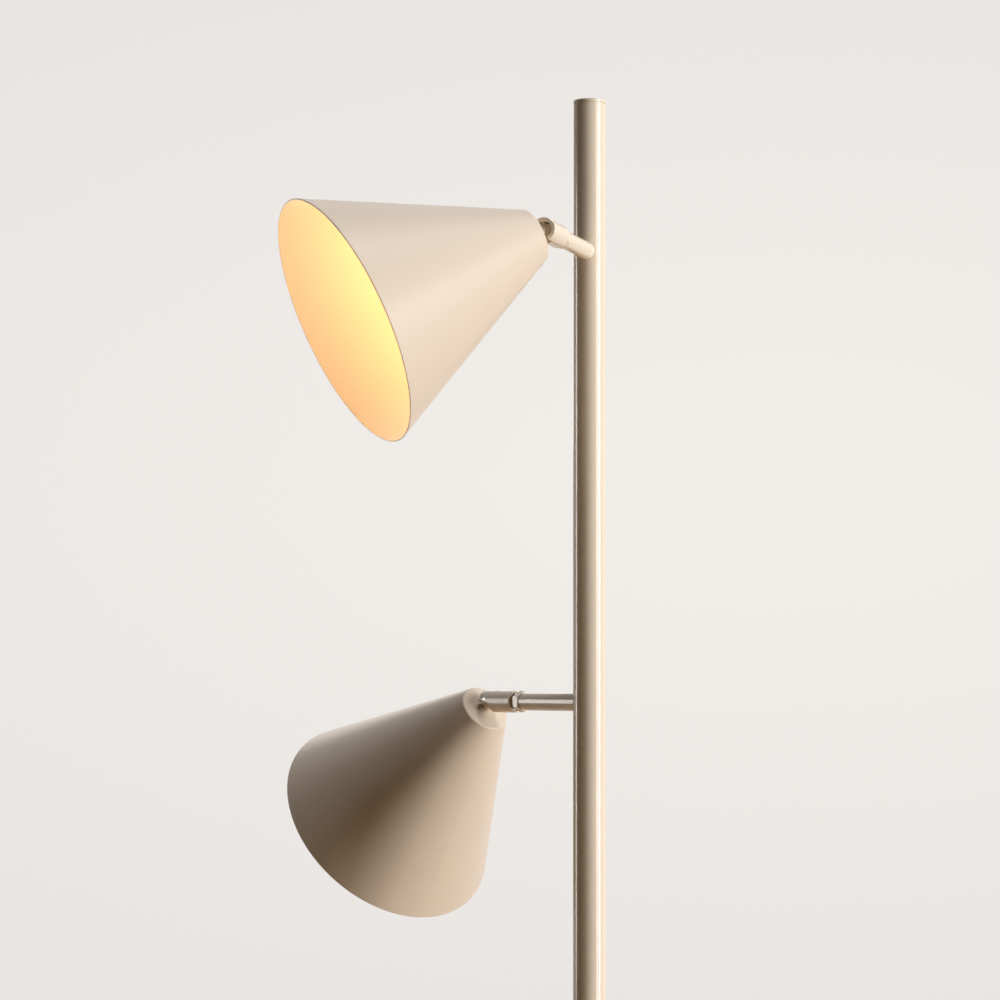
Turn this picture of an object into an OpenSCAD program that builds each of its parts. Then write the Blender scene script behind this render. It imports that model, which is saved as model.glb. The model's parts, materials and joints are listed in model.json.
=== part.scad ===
// Pole floor lamp: a weighted round base, a thin round pole in two lengths, and
// two arms that each carry a cone shade on a swivelling, tilting knuckle.
// Millimetres. The origin is on the pole's axis at floor level, +Z is up, +X is
// to the viewer's right and +Y points away from the viewer.

/* [Overall] */
// Height from the floor to the top of the pole's cap
lamp_h = 1500; // [1350:10:1800]
// Distance from the top of the cap down to the upper arm's axis
upper_drop = 94; // [60:1:160]
// Distance between the axes of the two arms
arm_spacing = 275.5; // [230:0.5:340]
// Direction that the upper arm points in, counter-clockwise from +X
upper_turn = 254.5; // [235:0.5:275]
// Direction that the lower arm points in, counter-clockwise from +X
lower_turn = 127; // [110:0.5:140]

/* [Stored pose] */
// Turn of the upper knuckle about its arm, 0 with the shade hanging down
upper_swivel = -59.5; // [-160:0.5:160]
// Turn of the lower knuckle about its arm
lower_swivel = 3; // [-160:0.5:160]
// Angle between the upper arm and its shade's axis
upper_tilt = 57.5; // [0:0.5:90]
// Angle between the lower arm and its shade's axis
lower_tilt = 36; // [0:0.5:90]

/* [Base] */
// Outside diameter of the base's cover
base_d = 280; // [240:5:340]
// Thickness of the soft pad that the lamp stands on
pad_t = 2.5; // [1.5:0.5:5]
// Distance from the cover's edge in to the pad's edge
pad_inset = 5; // [2:0.5:12]
// Thickness of the iron weight
weight_t = 20; // [20:1:28]
// Thickness of iron left above the weight's recess
weight_web = 5; // [3.5:0.5:5]
// Diameter of the recess under the weight
recess_d = 96; // [90:2:130]
// Sheet thickness of the base's cover
cover_t = 1.2; // [0.8:0.1:2]
// Outside radius of the cover's rounded top edge
cover_edge_r = 3; // [2.5:0.5:6]
// Diameter of the washer under the weight's web
washer_d = 30; // [24:1:40]
// Thickness of that washer
washer_t = 2; // [1.5:0.5:2.5]
// Width across the flats of the nut under the washer
base_nut_af = 14; // [13:0.5:19]
// Thickness of that nut
base_nut_t = 5; // [4:0.5:5.5]

/* [Lead inlet] */
// Bore of the bush that the mains lead would enter by
inlet_bore = 6.6; // [5.5:0.1:7]
// Thickness of the bush's sleeve
inlet_wall = 1.2; // [0.8:0.1:1.5]
// Height of the bush's lips above its sleeve
inlet_lip = 1.2; // [0.8:0.1:1.6]
// Height of the inlet's axis above the pad
inlet_up = 8; // [7:0.5:10]

/* [Pole] */
// Outside diameter of the pole
pole_d = 20; // [18:0.5:26]
// Wall of the pole's tubes
pole_wall = 1.5; // [1:0.1:2]
// Height of the joint between the pole's two lengths
joint_z = 760; // [600:10:800]
// Length of each threaded plug that is pressed into the pole
plug_l = 25; // [15:1:40]
// Outside diameter of the hollow thread that joins the lengths and the base
pole_thread_d = 10; // [9.5:0.5:12]
// Bore of that thread, which the two leads pass through
pole_thread_bore = 8; // [7.6:0.1:8.4]
// Thickness of the cap's rim
cap_t = 1.8; // [1.2:0.1:4]
// Height of the fine groove under the cap's rim
cap_groove = 0.4; // [0.2:0.1:1]
// Length of the cap's plug inside the pole
cap_plug_l = 12; // [6:1:30]

/* [Arms] */
// Distance from the pole's axis to the back face of the knuckle
arm_reach = 73.7; // [60:0.1:110]
// Outside diameter of the arm
arm_d = 11; // [10.5:0.1:12]
// Wall of the arm's tube
arm_wall = 1.2; // [0.8:0.1:1.4]
// Outside diameter of the hollow thread that the knuckle turns on
nipple_d = 6; // [5.6:0.1:6.4]
// Bore of that thread
nipple_bore = 4.2; // [3.8:0.1:4.4]
// Length of the threaded insert inside the arm's end
insert_l = 10; // [6:1:20]
// Thickness of the insert's flange, which shows as a fine groove
insert_flange_t = 1; // [0.6:0.1:1.5]
// Thickness of the locknut's hexagon
locknut_t = 5; // [3:0.5:8]
// Width across the flats of the locknut
locknut_af = 11.5; // [10.5:0.1:12]
// Gap that shows between the locknut's hexagon and the knuckle
neck_gap = 2.6; // [1.5:0.1:4]

/* [Knuckles] */
// Outside diameter of the knuckle
knuckle_d = 14; // [13.8:0.1:16]
// Length of the knuckle
knuckle_l = 32; // [30:1:45]
// Depth of the cup at the knuckle's back end
cup_depth = 4; // [3:0.5:6]
// Wall of that cup
cup_wall = 0.9; // [0.7:0.1:1]
// Length of the solid web that turns on the thread
web_l = 10; // [6:1:12]
// Diameter of the front bore, which holds the tilting stem
front_bore = 9.4; // [9.4:0.1:10]
// Distance from the open end in to the tilt pivot
pivot_in = 5.6; // [5:0.1:7]
// Height of the tilt pivot above the arm's axis
pivot_up = 1.2; // [1.1:0.1:1.3]
// Height of the hood's lower edge above the arm's axis
hood_edge_z = -0.6; // [-1.5:0.1:-0.3]
// Radius of the inside corner where the hood meets the barrel
hood_corner_r = 2.5; // [1:0.1:4]
// Diameter of the two pivot pins
pin_d = 2; // [1.6:0.1:2]

/* [Stem] */
// Diameter of the tilting stem and its ball end
stem_d = 6.8; // [6.2:0.1:6.8]
// Bore of the stem
stem_bore = 4.2; // [3.8:0.1:4.4]
// Distance from the tilt pivot to the shade's flat end
stem_reach = 9.5; // [9.2:0.1:14]
// Diameter of the stem's flange, which seats on the shade
flange_d = 9.8; // [9.4:0.1:12]
// Thickness of that flange
flange_t = 1; // [0.6:0.1:1]
// Outside diameter of the stem's threaded tail
tail_d = 8; // [7.6:0.1:9]
// Thickness of the lock washer inside the shade
lock_washer_t = 1; // [0.5:0.1:2]
// Thickness of the nut inside the shade
stem_nut_t = 3.5; // [2.5:0.5:5]

/* [Shades] */
// Diameter of the shade's mouth
mouth_d = 150; // [130:1:160]
// Diameter of the shade's flat end
end_d = 32; // [30:0.5:40]
// Length of the shade along its axis
shade_l = 128.5; // [115:0.5:160]
// Sheet thickness of the shade
shade_t = 0.9; // [0.6:0.1:1.1]
// Outside radius of the edge between the flat end and the cone
end_edge_r = 1.3; // [1.2:0.1:3]

/* [Lampholder and bulb] */
// Outside diameter of the lampholder
holder_d = 27.8; // [27:0.1:30]
// Wall of the lampholder's cap and shell
holder_wall = 1.5; // [1.2:0.1:1.8]
// Length of the lampholder's cap
holder_cap_l = 11; // [10:0.5:14]
// Length of the lampholder's outer shell
holder_shell_l = 26; // [24:0.5:30]
// Outside diameter of the bulb's screw cap
screw_d = 13.8; // [13.6:0.1:14]
// Length of the bulb from its contact to its tip
bulb_l = 75; // [72:1:80]
// Diameter of the bulb's globe
globe_d = 45; // [40:1:48]

/* [Leads] */
// Diameter of the two-core lead inside the lamp
lead_d = 3.4; // [2.8:0.1:3.4]

/* [Hidden] */
$fn = 96;
upper = 0;
lower = 1;
// Radial clearance of brazed, screwed and sliding fits
fit_gap = 0.05;
// Overshoot of a cut past the face that it opens
cut = 1;

// Heights on the pole
weight_z = pad_t;
weight_top = weight_z + weight_t;
base_top = weight_top + cover_t;
recess_top = weight_top - weight_web;
cap_z = lamp_h - cap_t;
pole_top = cap_z - cap_groove;
arm_z = [lamp_h - upper_drop, lamp_h - upper_drop - arm_spacing];
arm_turn = [upper_turn, lower_turn];
arm_swivel = [upper_swivel, lower_swivel];
arm_tilt = [upper_tilt, lower_tilt];

// Radii
pole_r = pole_d / 2;
pole_bore_r = pole_r - pole_wall;
arm_r = arm_d / 2;
arm_bore_r = arm_r - arm_wall;
knuckle_r = knuckle_d / 2;
stem_r = stem_d / 2;
front_r = front_bore / 2;
thread_r = pole_thread_d / 2;
tail_r = tail_d / 2;
nipple_r = nipple_d / 2;

// Places along an arm, from the pole's axis
arm_root_in = 0.5;
arm_x0 = sqrt(pow(pole_bore_r, 2) - pow(arm_r, 2)) - arm_root_in;
hex_x1 = arm_reach - neck_gap;
hex_x0 = hex_x1 - locknut_t;
arm_x1 = hex_x0 - insert_flange_t;
cup_floor = arm_reach + cup_depth;
friction_washer_t = 1;
boss_x1 = cup_floor - friction_washer_t;
front_x0 = cup_floor + web_l;
knuckle_x1 = arm_reach + knuckle_l;
pivot_x = knuckle_x1 - pivot_in;
// The notch lets the stem lie square to the arm
notch_gap = 0.5;
notch_x0 = pivot_x - stem_r - notch_gap;
boss_r = 4.6;
stop_r = 0.6;
lug_ring_r = boss_r + 0.5;
peg_ring_r = knuckle_r - cup_wall - 0.5;
insert_flange_r = arm_r - 0.6;
nipple_x0 = arm_x1 - insert_l + 2;
nipple_x1 = front_x0 - 0.5;

// Spring and pressure pad behind the stem's ball
disc_spring_h = 1.4;
disc_spring_t = 0.5;
pad_x0 = front_x0 + disc_spring_h;
ball_gap = 0.1;

// Places along a shade's axis, from the tilt pivot
sheet_in = stem_reach + shade_t;
nut_x0 = sheet_in + lock_washer_t;
holder_x0 = nut_x0 + stem_nut_t;
shell_x0 = holder_x0 + holder_cap_l;
shell_x1 = shell_x0 + holder_shell_l;
holder_r = holder_d / 2;
holder_bore_r = holder_r - holder_wall;
spigot_l = 5;
insert_x0 = shell_x0 + spigot_l;
insert_puck_t = 3;
contact_t = 0.4;
bulb_x0 = insert_x0 + insert_puck_t + contact_t;
bulb_x1 = bulb_x0 + bulb_l;
tail_x1 = holder_x0 + holder_cap_l - 2;
screw_r = screw_d / 2;
screw_shell_t = 0.4;
screw_sleeve_r = screw_r + 0.1 + screw_shell_t;
screw_cap_l = 21;
globe_r = globe_d / 2;
globe_x = bulb_x1 - globe_r;
bulb_neck_x = bulb_x0 + screw_cap_l;
globe_t = 1;

// The inlet's bush and the groove behind it
inlet_r = inlet_bore / 2 + inlet_wall;
inlet_lip_r = inlet_r + inlet_lip;
inlet_groove_w = 2 * inlet_lip_r + 1;

// Leads
lead_r = lead_d / 2;
lead_bend_r = 2 * lead_d;
lead_side = lead_r + 0.2;
lead_floor = pad_t + lead_r + 0.1;
// How far the upper lead is pushed aside where the lower one turns off
lead_aside = 5;
lead_turn_x = arm_x0 - lead_bend_r;
block_w = 18;
block_l = 22;
// The block's face towards the pole, just clear of the washer
block_y = -washer_d / 2 - 1;

// ---- Placing ----

// X runs out along arm i, from the pole's axis
module on_arm(i) translate([0, 0, arm_z[i]]) rotate([0, 0, arm_turn[i]]) children();

// As on_arm, turned with the knuckle about the arm
module on_knuckle(i) on_arm(i) rotate([arm_swivel[i], 0, 0]) children();

// X runs along the shade's axis, from the tilt pivot to the mouth
module on_shade(i) on_knuckle(i) translate([pivot_x, 0, pivot_up])
    rotate([0, arm_tilt[i], 0]) children();

// ---- Shapes that repeat ----

module rod_x(x0, x1, r) translate([x0, 0, 0]) rotate([0, 90, 0]) cylinder(h = x1 - x0, r = r);

module tube_x(x0, x1, r_out, r_in) difference() {
    rod_x(x0, x1, r_out);
    rod_x(x0 - cut, x1 + cut, r_in);
}

module rod_z(z0, z1, r) translate([0, 0, z0]) cylinder(h = z1 - z0, r = r);

module tube_z(z0, z1, r_out, r_in) difference() {
    rod_z(z0, z1, r_out);
    rod_z(z0 - cut, z1 + cut, r_in);
}

// A hexagonal bar along X, with its ends' corners turned off round
module hex_x(x0, x1, across_flats) {
    corner_r = across_flats / sqrt(3);
    turned = corner_r - across_flats / 2;
    slope = turned / 2;
    intersection() {
        translate([x0, 0, 0]) rotate([0, 90, 0]) cylinder(h = x1 - x0, r = corner_r, $fn = 6);
        translate([x0, 0, 0]) rotate([0, 90, 0]) rotate_extrude() polygon([
            [0, 0], [corner_r - turned, 0], [corner_r, slope],
            [corner_r, x1 - x0 - slope], [corner_r - turned, x1 - x0], [0, x1 - x0]
        ]);
    }
}

// A bar along X with both end edges chamfered
module chamfered_x(x0, x1, r, edge) translate([x0, 0, 0]) rotate([0, 90, 0]) rotate_extrude()
    polygon([
        [0, 0], [r - edge, 0], [r, edge],
        [r, x1 - x0 - edge], [r - edge, x1 - x0], [0, x1 - x0]
    ]);

// Points of an arc about c, from angle a0 to a1, in n steps
function arc(c, r, a0, a1, n) =
    [for (k = [0:n]) let (a = a0 + (a1 - a0) * k / n) [c[0] + r * cos(a), c[1] + r * sin(a)]];

// ---- Base ----

module base_pad() color("#2b2a28") rod_z(0, pad_t, base_d / 2 - pad_inset);

// Iron disc with a recess underneath and a groove out to the lead inlet
module base_weight() color("#4a4a4c") {
    weight_r = base_d / 2 - cover_t - 0.3;
    difference() {
        rod_z(weight_z, weight_top, weight_r);
        rod_z(weight_z - cut, recess_top, recess_d / 2);
        rod_z(recess_top - cut, weight_top + cut, thread_r + fit_gap);
        // The groove takes the bush and the mains lead
        translate([-inlet_groove_w / 2, 0, weight_z - cut])
            cube([inlet_groove_w, base_d, inlet_up + inlet_groove_w / 2 + cut]);
        // Room for the cover's rounded edge
        difference() {
            rod_z(weight_top - cover_edge_r, weight_top + cut, base_d);
            rod_z(weight_top - cover_edge_r - cut, weight_top + 2 * cut, weight_r - cover_edge_r);
        }
    }
}

// Pressed cover: a round top with a rolled edge and a skirt down to the pad
module base_cover() color("#d8c3ab") difference() {
    translate([0, 0, weight_z]) rotate_extrude() {
        r = base_d / 2;
        h = base_top - weight_z;
        r_in = max(cover_edge_r - cover_t, 0.2);
        polygon(concat(
            [[thread_r + fit_gap, h - cover_t], [thread_r + fit_gap, h]],
            arc([r - cover_edge_r, h - cover_edge_r], cover_edge_r, 90, 0, 10),
            [[r, 0], [r - cover_t, 0]],
            arc([r - cover_t - r_in, h - cover_t - r_in], r_in, 0, 90, 10)
        ));
    }
    translate([0, base_d / 2 - 3 * cover_t, weight_z + inlet_up])
        rotate([-90, 0, 0]) cylinder(h = 6 * cover_t, r = inlet_r + fit_gap);
}

module base_washer() color("#b9bcc0")
    tube_z(recess_top - washer_t, recess_top, washer_d / 2, thread_r + fit_gap);

module base_nut() color("#c8b48c") {
    z1 = recess_top - washer_t;
    difference() {
        translate([0, 0, z1]) rotate([0, 90, 0]) hex_x(0, base_nut_t, base_nut_af);
        rod_z(z1 - base_nut_t - cut, z1 + cut, thread_r + fit_gap);
    }
}

// Hollow thread that clamps the base to the pole
module base_nipple() color("#c9b27a") {
    z0 = recess_top - washer_t - base_nut_t - 1;
    tube_z(z0, base_top + plug_l - 2, thread_r, pole_thread_bore / 2);
}

// Grommet in the back of the skirt, with a lip on each side of the sheet
module inlet_bush() color("#26262a") translate([0, 0, weight_z + inlet_up]) rotate([-90, 0, 0])
    rotate_extrude() {
        bore_r = inlet_bore / 2;
        // The flat shoulders stand just clear of the curved skirt
        back = sqrt(pow(base_d / 2 - cover_t, 2) - pow(inlet_lip_r, 2)) - fit_gap;
        front = base_d / 2 + fit_gap;
        polygon([
            [bore_r, back - inlet_lip], [inlet_lip_r, back - inlet_lip], [inlet_lip_r, back],
            [inlet_r, back], [inlet_r, front], [inlet_lip_r, front],
            [inlet_lip_r - inlet_lip / 2, front + inlet_lip], [bore_r, front + inlet_lip]
        ]);
    }

// Two-way connector block that joins the mains lead to the two inner leads
module terminal_block() color("#e9e7e0") rotate([0, 0, lower_turn])
    translate([-block_w / 2, block_y - block_l, 0]) difference() {
        translate([0, 0, weight_z + fit_gap])
            cube([block_w, block_l, recess_top - weight_z - fit_gap]);
        for (side = [-1, 1]) translate([block_w / 2 + side * block_w / 4, 0, 0]) {
            // A way for the wires, and two wells for its screws from below
            translate([0, -cut, lead_floor]) rotate([-90, 0, 0])
                cylinder(h = block_l + 2 * cut, r = 1.2);
            for (share = [0.3, 0.7]) translate([0, block_l * share, weight_z - cut])
                cylinder(h = lead_floor - weight_z + cut, r = 1.6);
        }
    }

// ---- Pole ----

// Threaded plug in the foot of the pole
module pole_foot_plug() color("#a9a9ab")
    tube_z(base_top, base_top + plug_l, pole_bore_r, thread_r + fit_gap);

module pole_lower() color("#cdb79d") tube_z(base_top, joint_z, pole_r, pole_bore_r);

// Threaded plug in the top of the lower length
module pole_socket() color("#a9a9ab")
    tube_z(joint_z - plug_l, joint_z, pole_bore_r, thread_r + fit_gap);

// Plug in the foot of the upper length, with a hollow thread below it
module pole_stud() color("#b3b3b5") difference() {
    union() {
        rod_z(joint_z, joint_z + plug_l, pole_bore_r);
        rod_z(joint_z - plug_l + 2, joint_z + cut, thread_r);
    }
    rod_z(joint_z - plug_l, joint_z + plug_l + cut, pole_thread_bore / 2);
}

module pole_upper() color("#cdb79d") difference() {
    tube_z(joint_z, pole_top, pole_r, pole_bore_r);
    for (i = [upper, lower]) on_arm(i) rod_x(0, pole_d, arm_r + fit_gap);
}

// Cap with a plug inside the tube and a fine groove under its rim
module pole_cap() color("#cdb79d") rotate_extrude() {
    edge = 0.3;
    neck = 0.7;
    polygon([
        [0, pole_top - cap_plug_l], [pole_bore_r - fit_gap - edge, pole_top - cap_plug_l],
        [pole_bore_r - fit_gap, pole_top - cap_plug_l + edge],
        [pole_bore_r - fit_gap, pole_top], [pole_r - neck, pole_top],
        [pole_r - neck, cap_z], [pole_r, cap_z],
        [pole_r, lamp_h - edge], [pole_r - edge, lamp_h], [0, lamp_h]
    ]);
}

// ---- Arms and knuckles ----

module arm(i) color("#cdb79d") on_arm(i) tube_x(arm_x0, arm_x1, arm_r, arm_bore_r);

module arm_insert(i) color("#8b8479") on_arm(i) difference() {
    union() {
        rod_x(arm_x1 - insert_l, arm_x1 + 0.1, arm_bore_r - fit_gap);
        rod_x(arm_x1, hex_x0, insert_flange_r);
    }
    rod_x(arm_x1 - insert_l - cut, hex_x0 + cut, nipple_r);
}

// Hollow thread from the arm's insert into the knuckle's web
module nipple(i) color("#c9b27a") on_arm(i)
    tube_x(nipple_x0, nipple_x1, nipple_r, nipple_bore / 2);

// Hexagon, round boss and the lug that stops the knuckle's turn
module locknut(i) color("#b79f86") on_arm(i) difference() {
    union() {
        hex_x(hex_x0, hex_x1, locknut_af);
        rod_x(hex_x1 - 0.1, boss_x1, boss_r);
        translate([0, 0, lug_ring_r]) rod_x(boss_x1 - 1.6, boss_x1, stop_r);
    }
    rod_x(hex_x0 - cut, boss_x1 + cut, nipple_r);
}

module friction_washer(i) color("#2f2d2b") on_knuckle(i)
    tube_x(boss_x1, cup_floor, boss_r - 0.2, nipple_r + fit_gap);

// The notch's side view: square, with a rounded inside corner
module notch_profile() difference() {
    translate([notch_x0, -2 * knuckle_r]) square([knuckle_l, 2 * knuckle_r + hood_edge_z]);
    difference() {
        translate([notch_x0 - cut, hood_edge_z - hood_corner_r])
            square([hood_corner_r + cut, hood_corner_r + cut]);
        translate([notch_x0 + hood_corner_r, hood_edge_z - hood_corner_r])
            circle(r = hood_corner_r);
    }
}

// Barrel with a cup for the locknut's boss, a web on the thread, and a front
// bore whose lower side is notched so that the stem can fold square to the arm
module knuckle(i) color("#cdb79d") on_knuckle(i) {
    difference() {
        chamfered_x(arm_reach, knuckle_x1, knuckle_r, 0.35);
        rod_x(arm_reach - cut, cup_floor, knuckle_r - cup_wall);
        rod_x(arm_reach, front_x0 + cut, nipple_r + fit_gap);
        rod_x(front_x0, knuckle_x1 + cut, front_r);
        translate([0, knuckle_r + cut, 0]) rotate([90, 0, 0])
            linear_extrude(height = 2 * (knuckle_r + cut)) notch_profile();
        translate([pivot_x, knuckle_r + cut, pivot_up]) rotate([90, 0, 0])
            cylinder(h = 2 * (knuckle_r + cut), r = pin_d / 2);
    }
    // Peg that meets the locknut's lug after most of a turn
    translate([0, 0, -peg_ring_r]) rod_x(cup_floor - 1.8, cup_floor + 0.1, stop_r);
}

// Two headless pins, one through each side of the hood
module pivot_pins(i) color("#b9bcc0") on_knuckle(i) intersection() {
    for (side = [-1, 1]) translate([pivot_x, side * (stem_bore / 2 + 0.2), pivot_up])
        rotate([-90 * side, 0, 0]) cylinder(h = knuckle_d, r = pin_d / 2);
    rod_x(front_x0, knuckle_x1, knuckle_r);
}

// Pad that the disc spring presses against the ball, relieved on the notch's side
module pressure_pad(i) color("#d9c48f") on_knuckle(i) difference() {
    rod_x(pad_x0, pivot_x - stem_r / 2, front_r - fit_gap);
    translate([pivot_x, 0, pivot_up]) sphere(r = stem_r + ball_gap);
    translate([pivot_x - stem_r - ball_gap, -knuckle_r, -knuckle_d])
        cube([knuckle_l, knuckle_d, knuckle_d + pivot_up + 0.1]);
    rod_x(pad_x0 - cut, pivot_x, nipple_bore / 2);
}

// Dished washer between the front bore's floor and the pad
module disc_spring(i) color("#8f9296") on_knuckle(i) translate([front_x0, 0, 0])
    rotate([0, 90, 0]) rotate_extrude() polygon([
        [nipple_bore / 2 + 0.3, disc_spring_h - disc_spring_t], [front_r - fit_gap, 0],
        [front_r - fit_gap, disc_spring_t], [nipple_bore / 2 + 0.3, disc_spring_h]
    ]);

// ---- Tilting stem and shade ----

// Ball end, shank, flange and threaded tail; the ball is slotted for the lead
module stem(i) color("#bfa88e") on_shade(i) difference() {
    union() {
        sphere(r = stem_r);
        rod_x(0, stem_reach - flange_t + 0.1, stem_r);
        rod_x(stem_reach - flange_t, stem_reach, flange_d / 2);
        rod_x(stem_reach - 0.1, tail_x1, tail_r);
    }
    rod_x(-2 * stem_r, tail_x1 + cut, stem_bore / 2);
    translate([-2 * stem_r, -stem_bore / 2, -2 * stem_r])
        cube([2 * stem_r + pin_d / 2, stem_bore, 2 * stem_r]);
    rotate([90, 0, 0]) translate([0, 0, -stem_d])
        cylinder(h = 2 * stem_d, r = pin_d / 2 + fit_gap);
}

// Spun cone with a flat end, one sheet thick all over
module shade(i) color("#dcc7ae") on_shade(i) translate([stem_reach, 0, 0]) rotate([0, 90, 0])
    rotate_extrude() {
        slope = atan((mouth_d - end_d) / 2 / shade_l);
        along = [sin(slope), cos(slope)];
        outward = [cos(slope), -sin(slope)];
        corner = [end_d / 2 - end_edge_r * (1 - sin(slope)) / cos(slope), end_edge_r];
        lip_r = shade_t / 2;
        lip = [mouth_d / 2, shade_l] - lip_r * along - lip_r * outward;
        polygon(concat(
            [[tail_r + fit_gap, shade_t], [tail_r + fit_gap, 0]],
            arc(corner, end_edge_r, -90, -slope, 8),
            arc(lip, lip_r, -slope, 180 - slope, 8),
            arc(corner, end_edge_r - shade_t, -slope, -90, 4)
        ));
    }

module lock_washer(i) color("#b9bcc0") on_shade(i)
    tube_x(sheet_in, nut_x0, tail_r + 3.5, tail_r + fit_gap);

module stem_nut(i) color("#c8b48c") on_shade(i) difference() {
    hex_x(nut_x0, holder_x0, tail_d + 5);
    rod_x(nut_x0 - cut, holder_x0 + cut, tail_r);
}

// ---- Lampholder ----

// Domed cap on the stem's tail, with a spigot that the shell screws on
module holder_cap(i) color("#eceae4") on_shade(i) difference() {
    translate([holder_x0, 0, 0]) rotate([0, 90, 0]) rotate_extrude() {
        dome = 4;
        polygon(concat(
            [[tail_r + fit_gap, 0]],
            arc([holder_r - dome, dome], dome, -90, 0, 8),
            [
                [holder_r, holder_cap_l], [holder_bore_r - fit_gap, holder_cap_l],
                [holder_bore_r - fit_gap, holder_cap_l + spigot_l],
                [holder_bore_r - holder_wall, holder_cap_l + spigot_l],
                [holder_bore_r - holder_wall, 3], [tail_r + 2, 3],
                [tail_r + 2, holder_cap_l - 2], [tail_r + fit_gap, holder_cap_l - 2]
            ]
        ));
    }
}

// Outer shell with ribs for a finger grip and a turned-in front lip
module holder_shell(i) color("#eceae4") on_shade(i) {
    lip_t = 1.2;
    ribs = 24;
    tube_x(shell_x0, shell_x1 - lip_t, holder_r, holder_bore_r);
    tube_x(shell_x1 - lip_t, shell_x1, holder_r, holder_bore_r - 1.5);
    for (k = [0:ribs - 1]) rotate([360 * k / ribs, 0, 0])
        translate([shell_x0 + 2, -0.5, holder_r - 0.3])
            cube([holder_shell_l - 6, 1, 0.8]);
}

// Insulating body: a puck behind the bulb and a cup round its thread
module holder_insert(i) color("#d9d5ca") on_shade(i) difference() {
    cup_r = screw_sleeve_r + 1.6;
    union() {
        rod_x(insert_x0, insert_x0 + insert_puck_t, holder_bore_r - fit_gap);
        rod_x(insert_x0, shell_x1 - 1.2, cup_r);
    }
    rod_x(insert_x0 + insert_puck_t, shell_x1 + cut, screw_sleeve_r);
    // Ways for the two cores
    for (side = [-1, 1]) translate([0, side * (cup_r + 1.2), 0])
        rod_x(insert_x0 - cut, insert_x0 + insert_puck_t + cut, 0.9);
}

// Metal sleeve that the bulb screws into
module screw_sleeve(i) color("#c9b27a") on_shade(i)
    tube_x(bulb_x0 + 3, shell_x1 - 2, screw_sleeve_r, screw_sleeve_r - screw_shell_t);

// Flat leaf under the bulb's centre contact
module contact(i) color("#c9b27a") on_shade(i)
    translate([insert_x0 + insert_puck_t, -1.5, -screw_r + 1])
        cube([contact_t, 3, 2 * screw_r - 2]);

// ---- Bulb ----

// Screw cap with rolled threads, an insulator and a centre contact
module bulb_cap(i) color("#c4c6ca") on_shade(i) translate([bulb_x0, 0, 0]) rotate([0, 90, 0])
    rotate_extrude() {
        pitch = 2.8;
        turns = 5;
        start = 4;
        depth = 0.5;
        polygon(concat(
            [[0, 0], [2.2, 0], [2.6, 0.5], [3.2, 1.6], [screw_r - 1.4, start - 1]],
            [for (k = [0:turns - 1], p = [[0, 0], [depth, 0.35], [depth, 0.65]])
                [screw_r - depth + p[0], start + pitch * (k + p[1])]],
            [[screw_r - depth, start + pitch * turns], [screw_r - depth, screw_cap_l],
                [0, screw_cap_l]]
        ));
    }

// Cup-shaped lower half of the bulb
module bulb_body(i) color("#f2efe8") on_shade(i) translate([bulb_neck_x, 0, 0])
    rotate([0, 90, 0]) rotate_extrude() {
        h = globe_x - bulb_neck_x;
        neck_r = screw_r + 2;
        polygon(concat(
            [[0, 0], [neck_r - 1, 0], [neck_r, 1]],
            [for (k = [0:8]) let (s = k / 8, c = (1 - cos(180 * s)) / 2)
                [neck_r + 0.4 + (globe_r - neck_r - 1.4) * (0.35 * s + 0.65 * c),
                    4 + (h - 8) * s]],
            [[globe_r - 0.7, h - 2], [globe_r - 0.7, h], [0, h]]
        ));
    }

// Frosted dome
module bulb_globe(i) color("#fff3d6") on_shade(i) translate([globe_x, 0, 0])
    rotate([0, 90, 0]) rotate_extrude() polygon(concat(
        arc([0, 0], globe_r, 0, 90, 24),
        arc([0, 0], globe_r - globe_t, 90, 0, 24)
    ));

// ---- Leads ----

function turned(p, a) = [p[0] * cos(a) - p[1] * sin(a), p[0] * sin(a) + p[1] * cos(a), p[2]];

// Quarter bend of radius r from direction u into direction v, starting at p
function bend(p, u, v, r) =
    [for (k = [1:5]) let (a = 90 * k / 6) p + r * sin(a) * u + r * (1 - cos(a)) * v];

// From the terminal block, up the pole and out to the end of the arm's thread
function lead_path(i) =
    let (
        side = i == lower ? lead_side : -lead_side,
        z_lower = arm_z[lower],
        z = arm_z[i],
        y = [0, 1, 0],
        up = [0, 0, 1],
        start = [side, block_y, lead_floor],
        foot = [side, -lead_bend_r, lead_floor],
        rise = [side, 0, lead_floor + lead_bend_r],
        aside = i == upper
            ? [[-lead_aside, 0, z_lower - 60], [-lead_aside, 0, z_lower + 60]]
            : [],
        last = arm_turn[i] - lower_turn,
        turn_foot = [lead_turn_x, 0, z - lead_bend_r],
        out = concat(
            [turn_foot - [0, 0, 40], turn_foot],
            bend(turn_foot, up, [1, 0, 0], lead_bend_r),
            [[arm_x0, 0, z], [nipple_x1, 0, z]]
        )
    )
    concat(
        [start, foot], bend(foot, y, up, lead_bend_r),
        [rise, [side, 0, joint_z - 2 * plug_l], [side, 0, joint_z + 2 * plug_l]],
        aside, [for (p = out) turned(p, last)]
    );

function unit(v) = v / norm(v);

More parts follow.
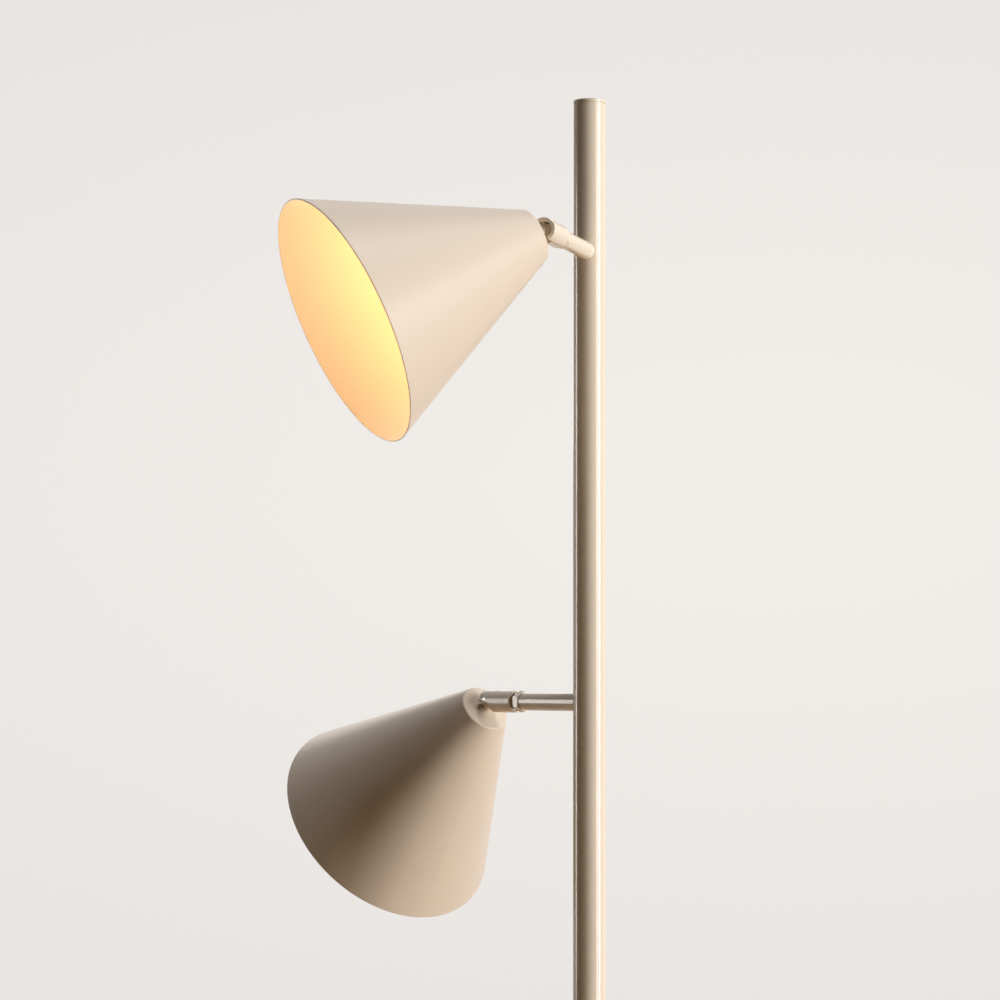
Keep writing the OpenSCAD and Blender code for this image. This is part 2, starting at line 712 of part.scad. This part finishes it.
// A closed round tube along the points, with the given number of sides
module swept_tube(points, r, sides) {
    count = len(points);
    slant = unit([1, 1, 1]);
    rings = [for (k = [0:count - 1]) let (
            before = unit(points[max(k, 1)] - points[max(k, 1) - 1]),
            after = unit(points[min(k + 1, count - 1)] - points[min(k + 1, count - 1) - 1]),
            along = unit(before + after),
            u = unit(cross(along, slant)),
            v = cross(along, u)
        ) for (s = [0:sides - 1]) let (a = 360 * s / sides)
            points[k] + r * (cos(a) * u + sin(a) * v)];
    walls = [for (k = [0:count - 2], s = [0:sides - 1]) let (
            a = k * sides + s, b = k * sides + (s + 1) % sides
        ) each [[a, a + sides, b], [b, a + sides, b + sides]]];
    ends = [
        [for (s = [0:sides - 1]) s],
        [for (s = [sides - 1:-1:0]) (count - 1) * sides + s]
    ];
    polyhedron(rings, concat(walls, ends));
}

module lead(i) color("#e6e2d8") rotate([0, 0, lower_turn]) swept_tube(lead_path(i), lead_r, 8);

base_pad();
base_weight();
base_cover();
base_washer();
base_nut();
base_nipple();
inlet_bush();
terminal_block();
pole_foot_plug();
pole_lower();
pole_socket();
pole_stud();
pole_upper();
pole_cap();
arm(upper);  // upper_arm
arm_insert(upper);  // upper_arm_insert
nipple(upper);  // upper_nipple
locknut(upper);  // upper_locknut
friction_washer(upper);  // upper_friction_washer
knuckle(upper);  // upper_knuckle
pivot_pins(upper);  // upper_pivot_pins
pressure_pad(upper);  // upper_pressure_pad
disc_spring(upper);  // upper_disc_spring
stem(upper);  // upper_stem
shade(upper);  // upper_shade
lock_washer(upper);  // upper_lock_washer
stem_nut(upper);  // upper_stem_nut
holder_cap(upper);  // upper_holder_cap
holder_shell(upper);  // upper_holder_shell
holder_insert(upper);  // upper_holder_insert
screw_sleeve(upper);  // upper_screw_sleeve
contact(upper);  // upper_contact
bulb_cap(upper);  // upper_bulb_cap
bulb_body(upper);  // upper_bulb_body
bulb_globe(upper);  // upper_bulb_globe
lead(upper);  // upper_lead
arm(lower);  // lower_arm
arm_insert(lower);  // lower_arm_insert
nipple(lower);  // lower_nipple
locknut(lower);  // lower_locknut
friction_washer(lower);  // lower_friction_washer
knuckle(lower);  // lower_knuckle
pivot_pins(lower);  // lower_pivot_pins
pressure_pad(lower);  // lower_pressure_pad
disc_spring(lower);  // lower_disc_spring
stem(lower);  // lower_stem
shade(lower);  // lower_shade
lock_washer(lower);  // lower_lock_washer
stem_nut(lower);  // lower_stem_nut
holder_cap(lower);  // lower_holder_cap
holder_shell(lower);  // lower_holder_shell
holder_insert(lower);  // lower_holder_insert
screw_sleeve(lower);  // lower_screw_sleeve
contact(lower);  // lower_contact
bulb_cap(lower);  // lower_bulb_cap
bulb_body(lower);  // lower_bulb_body
bulb_globe(lower);  // lower_bulb_globe
lead(lower);  // lower_lead
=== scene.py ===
"""Looks of the pole lamp: materials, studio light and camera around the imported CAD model.
Metres, in the CAD frame: the origin on the pole's axis at floor level, +Z up, +Y away from the viewer."""
import json
import math

import bpy
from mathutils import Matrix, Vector


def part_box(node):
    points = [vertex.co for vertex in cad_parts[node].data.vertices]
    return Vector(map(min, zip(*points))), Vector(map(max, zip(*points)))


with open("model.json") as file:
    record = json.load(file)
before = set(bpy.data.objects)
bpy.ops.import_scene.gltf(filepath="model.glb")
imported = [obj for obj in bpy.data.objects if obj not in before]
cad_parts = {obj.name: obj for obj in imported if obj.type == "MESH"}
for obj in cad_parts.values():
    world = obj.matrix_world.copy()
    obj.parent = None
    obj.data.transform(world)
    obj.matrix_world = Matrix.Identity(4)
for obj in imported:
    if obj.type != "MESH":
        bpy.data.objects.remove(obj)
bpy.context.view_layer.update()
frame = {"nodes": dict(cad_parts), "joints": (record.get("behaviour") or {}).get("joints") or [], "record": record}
nodes = frame["nodes"]
scene = bpy.context.scene
scene.view_settings.view_transform = "Standard"

# ---- Camera ----

cam_data = bpy.data.cameras.new("camera")
cam = bpy.data.objects.new("camera", cam_data)
scene.collection.objects.link(cam)
scene.camera = cam
cam_data.sensor_width = 36.0
cam_data.lens = 112.716
cam_data.clip_end = 60.0
cam.location = (-0.02976, -1.91096, 1.14543)
cam.rotation_euler = [math.radians(a) for a in (93.248, -0.090, 0.741)]

# ---- Sizes and strengths ----

# How fast the shades widen: radius gained for each unit of length
CONE_SLOPE = 0.46
# Painted glow that the lit shades' insides give off by themselves, standing in for the bulb's light spread over
# them, and its colour
PAINTED_LINING_GLOW = 0.285
PAINTED_GLOW_COLOUR = (1.0, 0.83, 0.53, 1.0)
LINING_PAINT = (0.85, 0.80, 0.68, 1.0)
BULB_LIGHT = (1.0, 0.40, 0.105, 1.0)
BULB_STRENGTH = 12.0
# The height on the pole that the slanted lamps look at
AIM_Z = 1.25
# The backdrop is brightest in this direction, in an oval that is wider than high
BRIGHT_SPOT = (0.0745, 0.995, 0.062)
OVAL_SHAPE = (0.45, 0.0, 1.0)
# The floor: its radius, its sides, how far below the base it lies, and where it fades
FLOOR_R = 6.0
FLOOR_SIDES = 96
FLOOR_DROP = 0.0005
FADE_START, FADE_END = 1.2, 4.5
# How much of the floor's own pale colour is seen besides its lit colour
FLOOR_EVEN = 0.75
FLOOR_BOUNCE = (0.74, 0.47, 0.22, 1.0)
BLACK = (0.0, 0.0, 0.0, 1.0)


# ---- Node helpers ----

def srgb(r, g, b):
    """An 8-bit display colour as linear values, with alpha."""
    return tuple((v / 255 / 12.92 if v < 10.3 else ((v / 255 + 0.055) / 1.055) ** 2.4)
                 for v in (r, g, b)) + (1.0,)


class Tree:
    """Short calls for building a node tree."""

    def __init__(self, tree):
        self.tree = tree
        tree.nodes.clear()

    def add(self, kind, **values):
        """A new node. in_NAME sets the input NAME, and other names set the node's own properties."""
        n = self.tree.nodes.new(kind)
        for key, value in values.items():
            if key.startswith("in_"):
                n.inputs[key[3:].replace("_", " ")].default_value = value
            else:
                setattr(n, key, value)
        return n

    def link(self, a, out, b, into):
        self.tree.links.new(a.outputs[out], b.inputs[into])

    def noise(self, scale, detail=2.0, rough=0.5):
        where = self.add("ShaderNodeTexCoord")
        n = self.add("ShaderNodeTexNoise", in_Scale=scale, in_Detail=detail, in_Roughness=rough)
        self.link(where, "Object", n, "Vector")
        return n

    def spread(self, source, out, low, high, start=0.3, end=0.7):
        """source remapped to the values low to high."""
        n = self.add("ShaderNodeMapRange", in_From_Min=start, in_From_Max=end, in_To_Min=low, in_To_Max=high)
        self.link(source, out, n, "Value")
        return n

    def vector(self, operation, *terms):
        """A vector operation whose inputs are constants or (node, output) pairs."""
        n = self.add("ShaderNodeVectorMath", operation=operation)
        for k, value in enumerate(terms):
            if isinstance(value[1], str):
                self.link(value[0], value[1], n, k)
            else:
                n.inputs[k].default_value = value
        return n

    def inside_cone(self, pivot, axis):
        """1 on faces that look towards the axis of a cone that opens along it, and 0 on its outside."""
        where = self.add("ShaderNodeTexCoord")
        arm = self.vector("SUBTRACT", (where, "Object"), pivot)
        along = self.vector("PROJECT", (arm, "Vector"), axis)
        across = self.vector("SUBTRACT", (arm, "Vector"), (along, "Vector"))
        outward = self.vector("NORMALIZE", (across, "Vector"))
        tilted = self.vector("SUBTRACT", (outward, "Vector"), axis * CONE_SLOPE)
        facing = self.vector("DOT_PRODUCT", (where, "Normal"), (tilted, "Vector"))
        inside = self.add("ShaderNodeMath", operation="LESS_THAN")
        inside.inputs[1].default_value = 0.0
        self.link(facing, "Value", inside, 0)
        return inside

    def blend(self, source, out, a, b, start=0.3, end=0.7):
        """Colours a to b as source goes from start to end."""
        n = self.add("ShaderNodeValToRGB")
        for stop, place, colour in zip(n.color_ramp.elements, (start, end), (a, b)):
            stop.position = place
            stop.color = colour
        self.link(source, out, n, "Fac")
        return n


def tint(colour, factor):
    return tuple(min(v * factor, 1.0) for v in colour[:3]) + (1.0,)


def finish_material(name, colour, vary=0.03, mottle=30.0, rough=(0.4, 0.5), grain=900.0, bump=0.00002,
                    cone=None, **sockets):
    """A material whose colour, roughness and fine relief vary over the surface. cone=(pivot, axis) gives the
    inside of a cone along that axis LINING_PAINT and a painted glow of the shader's emission colour at the painted
    lining glow strength, standing in for the bulb's light spread over the inside."""
    mat = bpy.data.materials.new(name)
    mat.use_nodes = True
    t = Tree(mat.node_tree)
    out = t.add("ShaderNodeOutputMaterial")
    shader = t.add("ShaderNodeBsdfPrincipled")
    t.link(shader, "BSDF", out, "Surface")
    for key, value in sockets.items():
        shader.inputs[key.replace("_", " ")].default_value = value
    broad = t.noise(mottle, 3.0, 0.55)
    colours = t.blend(broad, "Fac", tint(colour, 1 - vary), tint(colour, 1 + vary))
    if cone:
        inside = t.inside_cone(*cone)
        paints = t.add("ShaderNodeMixRGB", in_Color2=LINING_PAINT)
        t.link(inside, "Value", paints, "Fac")
        t.link(colours, "Color", paints, "Color1")
        colours = paints
        # Painted glow: the inside of the cone gives off light of its own, standing in for the bulb's light spread
        # over it
        glow = t.add("ShaderNodeMath", operation="MULTIPLY")
        glow.inputs[1].default_value = PAINTED_LINING_GLOW
        t.link(inside, "Value", glow, 0)
        t.link(glow, "Value", shader, "Emission Strength")
    t.link(colours, "Color", shader, "Base Color")
    fine = t.noise(grain, 2.0, 0.6)
    t.link(t.spread(fine, "Fac", rough[0], rough[1]), "Result", shader, "Roughness")
    relief = t.add("ShaderNodeBump", in_Strength=1.0, in_Distance=bump)
    t.link(fine, "Fac", relief, "Height")
    t.link(relief, "Normal", shader, "Normal")
    return mat


# ---- Materials ----

def shade_paint(name, cone=None):
    return finish_material(name, (0.680, 0.570, 0.460, 1.0), vary=0.008, mottle=25, rough=(0.30, 0.36),
                           grain=1600, bump=0.000008, cone=cone, Specular_IOR_Level=0.3,
                           Emission_Color=PAINTED_GLOW_COLOUR)


mats = {
    "shade_paint": shade_paint("satin_beige_paint"),
    "pole_paint": finish_material(
        "gloss_beige_paint", (0.725, 0.620, 0.490, 1.0), vary=0.008, mottle=25, rough=(0.13, 0.17),
        grain=1400, bump=0.000004, Specular_IOR_Level=0.5),
    "knuckle_paint": finish_material(
        "semigloss_beige_paint", (0.715, 0.608, 0.476, 1.0), vary=0.008, mottle=25, rough=(0.20, 0.25),
        grain=1500, bump=0.000006, Specular_IOR_Level=0.5),
    "iron": finish_material(
        "cast_iron", (0.07, 0.07, 0.075, 1.0), vary=0.25, mottle=60, rough=(0.6, 0.8), grain=500,
        bump=0.0002, Metallic=0.8),
    "zinc": finish_material(
        "zinc_steel", (0.55, 0.56, 0.58, 1.0), vary=0.08, mottle=200, rough=(0.25, 0.4), grain=1500,
        Metallic=1.0),
    "dull_steel": finish_material(
        "dull_steel", (0.30, 0.28, 0.25, 1.0), vary=0.1, mottle=200, rough=(0.3, 0.45), grain=1500,
        Metallic=1.0),
    "brass": finish_material(
        "brass", (0.62, 0.46, 0.20, 1.0), vary=0.08, mottle=150, rough=(0.22, 0.38), grain=1500,
        Metallic=1.0),
    "bulb_metal": finish_material(
        "nickel_screw_cap", (0.62, 0.62, 0.63, 1.0), vary=0.05, mottle=150, rough=(0.2, 0.32), grain=1500,
        bump=0.00001, Metallic=1.0),
    "pad": finish_material(
        "soft_black_pad", (0.018, 0.018, 0.019, 1.0), vary=0.3, mottle=400, rough=(0.8, 0.95), bump=0.0002),
    "black_plastic": finish_material(
        "black_plastic", (0.02, 0.02, 0.022, 1.0), vary=0.1, mottle=100, rough=(0.4, 0.55), grain=1800,
        bump=0.00003),
    "pad_plastic": finish_material(
        "acetal_pad", (0.66, 0.54, 0.30, 1.0), vary=0.05, mottle=200, rough=(0.35, 0.5), grain=1500),
    "white_plastic": finish_material(
        "white_plastic", (0.78, 0.77, 0.73, 1.0), vary=0.015, mottle=80, rough=(0.28, 0.38), grain=1500,
        bump=0.00001),
    "frosted": finish_material(
        "frosted_globe", (0.9, 0.85, 0.75, 1.0), vary=0.01, mottle=60, rough=(0.3, 0.4), grain=1500,
        bump=0.00001, Emission_Color=BULB_LIGHT, Emission_Strength=BULB_STRENGTH),
    "lead_sheath": finish_material(
        "lead_sheath", (0.76, 0.73, 0.66, 1.0), mottle=200, rough=(0.4, 0.55), grain=1500, bump=0.00003),
}
slot_of = {s["node"]: s["material_slot"] for s in frame["record"]["subparts"]}
for name, obj in nodes.items():
    obj.data.materials.clear()
    obj.data.materials.append(mats[slot_of[name]])

# The knuckles are less glossy than the pole, and each shade has a lining of its own around its axis, with a
# painted glow on it
for side in ("upper", "lower"):
    nodes[side + "_knuckle"].data.materials[0] = mats["knuckle_paint"]
    tilt = next(j for j in frame["joints"] if j["name"] == side + "_tilt")
    pivot = Vector(tilt["pos_m"])
    low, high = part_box(side + "_holder_shell")
    axis = ((low + high) / 2 - pivot).normalized()
    nodes[side + "_shade"].data.materials[0] = shade_paint("satin_paint_and_painted_glow_" + side, (pivot, axis))


# ---- Studio ----

def softbox(name, azimuth, distance, z, width, height, radiance, look_z=None, colour=(1.0, 1.0, 1.0)):
    """A soft rectangular lamp that looks at the pole, level or at the height look_z.
    Azimuth 0 is behind the camera and 90 to its right."""
    data = bpy.data.lights.new(name, "AREA")
    data.shape = "RECTANGLE"
    data.size, data.size_y = width, height
    data.energy = radiance * math.pi * width * height
    data.color = colour
    lamp = bpy.data.objects.new(name, data)
    a = math.radians(azimuth)
    lamp.location = (distance * math.sin(a), -distance * math.cos(a), z)
    target = Vector((0, 0, z if look_z is None else look_z))
    lamp.rotation_euler = (target - lamp.location).to_track_quat("-Z", "Y").to_euler()
    lamp.visible_camera = False
    scene.collection.objects.link(lamp)


softbox("key", 75, 2.0, 1.2, 0.40, 1.7, 15.2)
softbox("strip", 55.2, 2.4, 1.5, 0.30, 2.2, 12.6, colour=(0.97, 0.985, 1.0))
softbox("high", 60, 0.749, 3.104, 0.5, 0.7, 18.2, look_z=AIM_Z)
softbox("rim", -108, 2.0, 1.25, 0.24, 1.0, 8.9, colour=(1.0, 0.955, 0.90))
softbox("back", 180, 1.414, 2.664, 0.7, 0.7, 0.5, look_z=AIM_Z, colour=(1.0, 0.9, 0.8))
softbox("edge", -165, 1.902, 1.718, 1.0, 0.6, 1.15, look_z=1.1, colour=(1.0, 0.93, 0.83))

# Backdrop: pale where it is seen, a ramp from dark to pale in reflections, and no light on the lamp
world = bpy.data.worlds.new("studio")
scene.world = world
world.cycles.sampling_method = "NONE"
world.use_nodes = True
w = Tree(world.node_tree)
coords = w.add("ShaderNodeTexCoord")
offset = w.vector("SUBTRACT", (coords, "Generated"), BRIGHT_SPOT)
oval = w.vector("MULTIPLY", (offset, "Vector"), OVAL_SHAPE)
reach = w.vector("LENGTH", (oval, "Vector"))
backdrop = w.blend(reach, "Value", srgb(241, 237, 233), srgb(233, 229, 226), 0.03, 0.17)
axes = w.add("ShaderNodeSeparateXYZ")
w.link(coords, "Generated", axes, "Vector")
mirror = w.blend(axes, "Y", (0.045, 0.04, 0.035, 1.0), srgb(236, 231, 228), 0.0, 0.35)
path = w.add("ShaderNodeLightPath")
seen = w.add("ShaderNodeMixRGB")
w.link(path, "Is Glossy Ray", seen, "Fac")
w.link(backdrop, "Color", seen, "Color1")
w.link(mirror, "Color", seen, "Color2")
shown = w.add("ShaderNodeMixRGB", in_Color2=BLACK)
w.link(path, "Is Diffuse Ray", shown, "Fac")
w.link(seen, "Color", shown, "Color1")
background = w.add("ShaderNodeBackground", in_Strength=1.0)
w.link(shown, "Color", background, "Color")
world_out = w.add("ShaderNodeOutputWorld")
w.link(background, "Background", world_out, "Surface")

# Floor: a wide pale disc that fades into the backdrop, out of the main view and clear from below
floor_mesh = bpy.data.meshes.new("floor")
corners = [2 * math.pi * k / FLOOR_SIDES for k in range(FLOOR_SIDES)]
floor_mesh.from_pydata([(FLOOR_R * math.cos(a), FLOOR_R * math.sin(a), 0) for a in corners], [],
                       [list(range(FLOOR_SIDES))])
floor = bpy.data.objects.new("floor", floor_mesh)
floor.location.z = -FLOOR_DROP
scene.collection.objects.link(floor)
floor_mat = bpy.data.materials.new("pale_floor")
floor_mat.use_nodes = True
f = Tree(floor_mat.node_tree)
where = f.add("ShaderNodeTexCoord")
span = f.vector("LENGTH", (where, "Object"))
fade = f.spread(span, "Value", 0.0, 1.0, FADE_START, FADE_END)
fade.interpolation_type = "SMOOTHSTEP"
side_seen = f.add("ShaderNodeNewGeometry")
clear = f.add("ShaderNodeMath", operation="MAXIMUM")
f.link(fade, "Result", clear, 0)
f.link(side_seen, "Backfacing", clear, 1)
# What the floor throws back on the lamp is warm, and what is seen of it, also in a reflection, is pale
bounce = f.add("ShaderNodeBsdfDiffuse", in_Color=FLOOR_BOUNCE)
ground = f.add("ShaderNodeBsdfDiffuse", in_Color=srgb(226, 222, 219))
even = f.add("ShaderNodeEmission", in_Color=srgb(236, 232, 229))
pale = f.add("ShaderNodeMixShader", in_Fac=FLOOR_EVEN)
f.link(ground, "BSDF", pale, 1)
f.link(even, "Emission", pale, 2)
ray = f.add("ShaderNodeLightPath")
visible = f.add("ShaderNodeMath", operation="SUBTRACT")
visible.inputs[0].default_value = 1.0
f.link(ray, "Is Diffuse Ray", visible, 1)
surface = f.add("ShaderNodeMixShader")
f.link(visible, "Value", surface, "Fac")
f.link(bounce, "BSDF", surface, 1)
f.link(pale, "Shader", surface, 2)
through = f.add("ShaderNodeBsdfTransparent")
mixed = f.add("ShaderNodeMixShader")
f.link(clear, "Value", mixed, "Fac")
f.link(surface, "Shader", mixed, 1)
f.link(through, "BSDF", mixed, 2)
floor_out = f.add("ShaderNodeOutputMaterial")
f.link(mixed, "Shader", floor_out, "Surface")
floor_mesh.materials.append(floor_mat)
